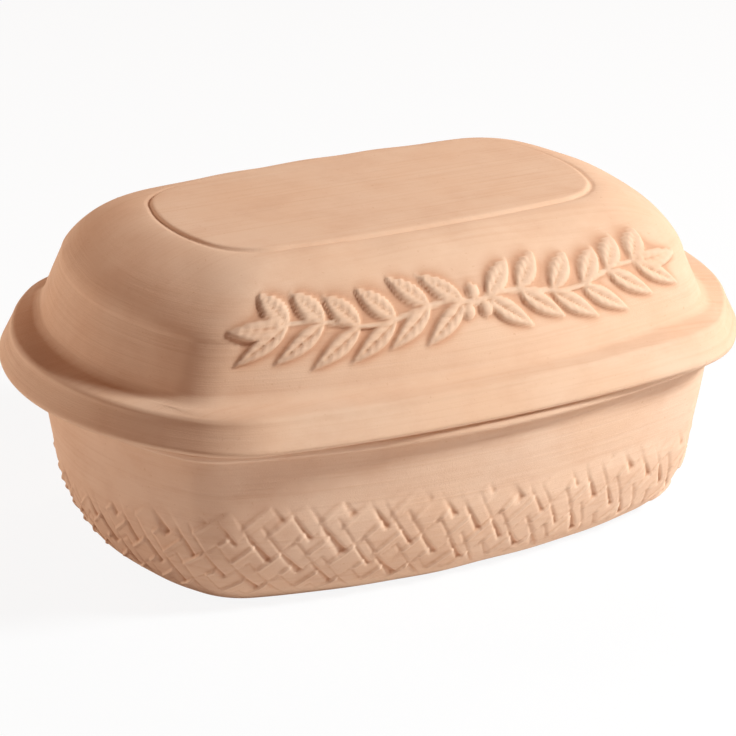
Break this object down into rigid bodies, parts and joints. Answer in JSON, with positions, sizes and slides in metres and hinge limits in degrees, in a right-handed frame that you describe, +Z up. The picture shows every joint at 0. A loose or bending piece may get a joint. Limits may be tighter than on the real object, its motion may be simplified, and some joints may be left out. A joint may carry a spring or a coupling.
{
  "type": "clay pot roaster",
  "caption": "Unglazed terracotta roasting pot: a deep base with bowed sides and a basket-weave band, and a domed lift-off lid with a flat top, a raised leaf garland on its long sides and a wide grip flange.",
  "frame": {"origin": "middle of the base's flat foot, on the surface that the pot stands on", "axes": "+X along the length towards the right-hand grip, -Y towards the front long side, +Z up"},
  "size_m": [0.345, 0.2422, 0.1526],
  "materials": {
    "base_clay": "matte",
    "lid_clay": "matte"
  },
  "bodies": {
    "base": {"base_pot": "base_clay"},
    "cover": {"lid": "lid_clay"}
  },
  "joints": [
    {"name": "lid_lift", "type": "slide", "parent": "base", "child": "cover", "axis": [0, 0, 1], "range_m": [0, 0.16]}
  ]
}
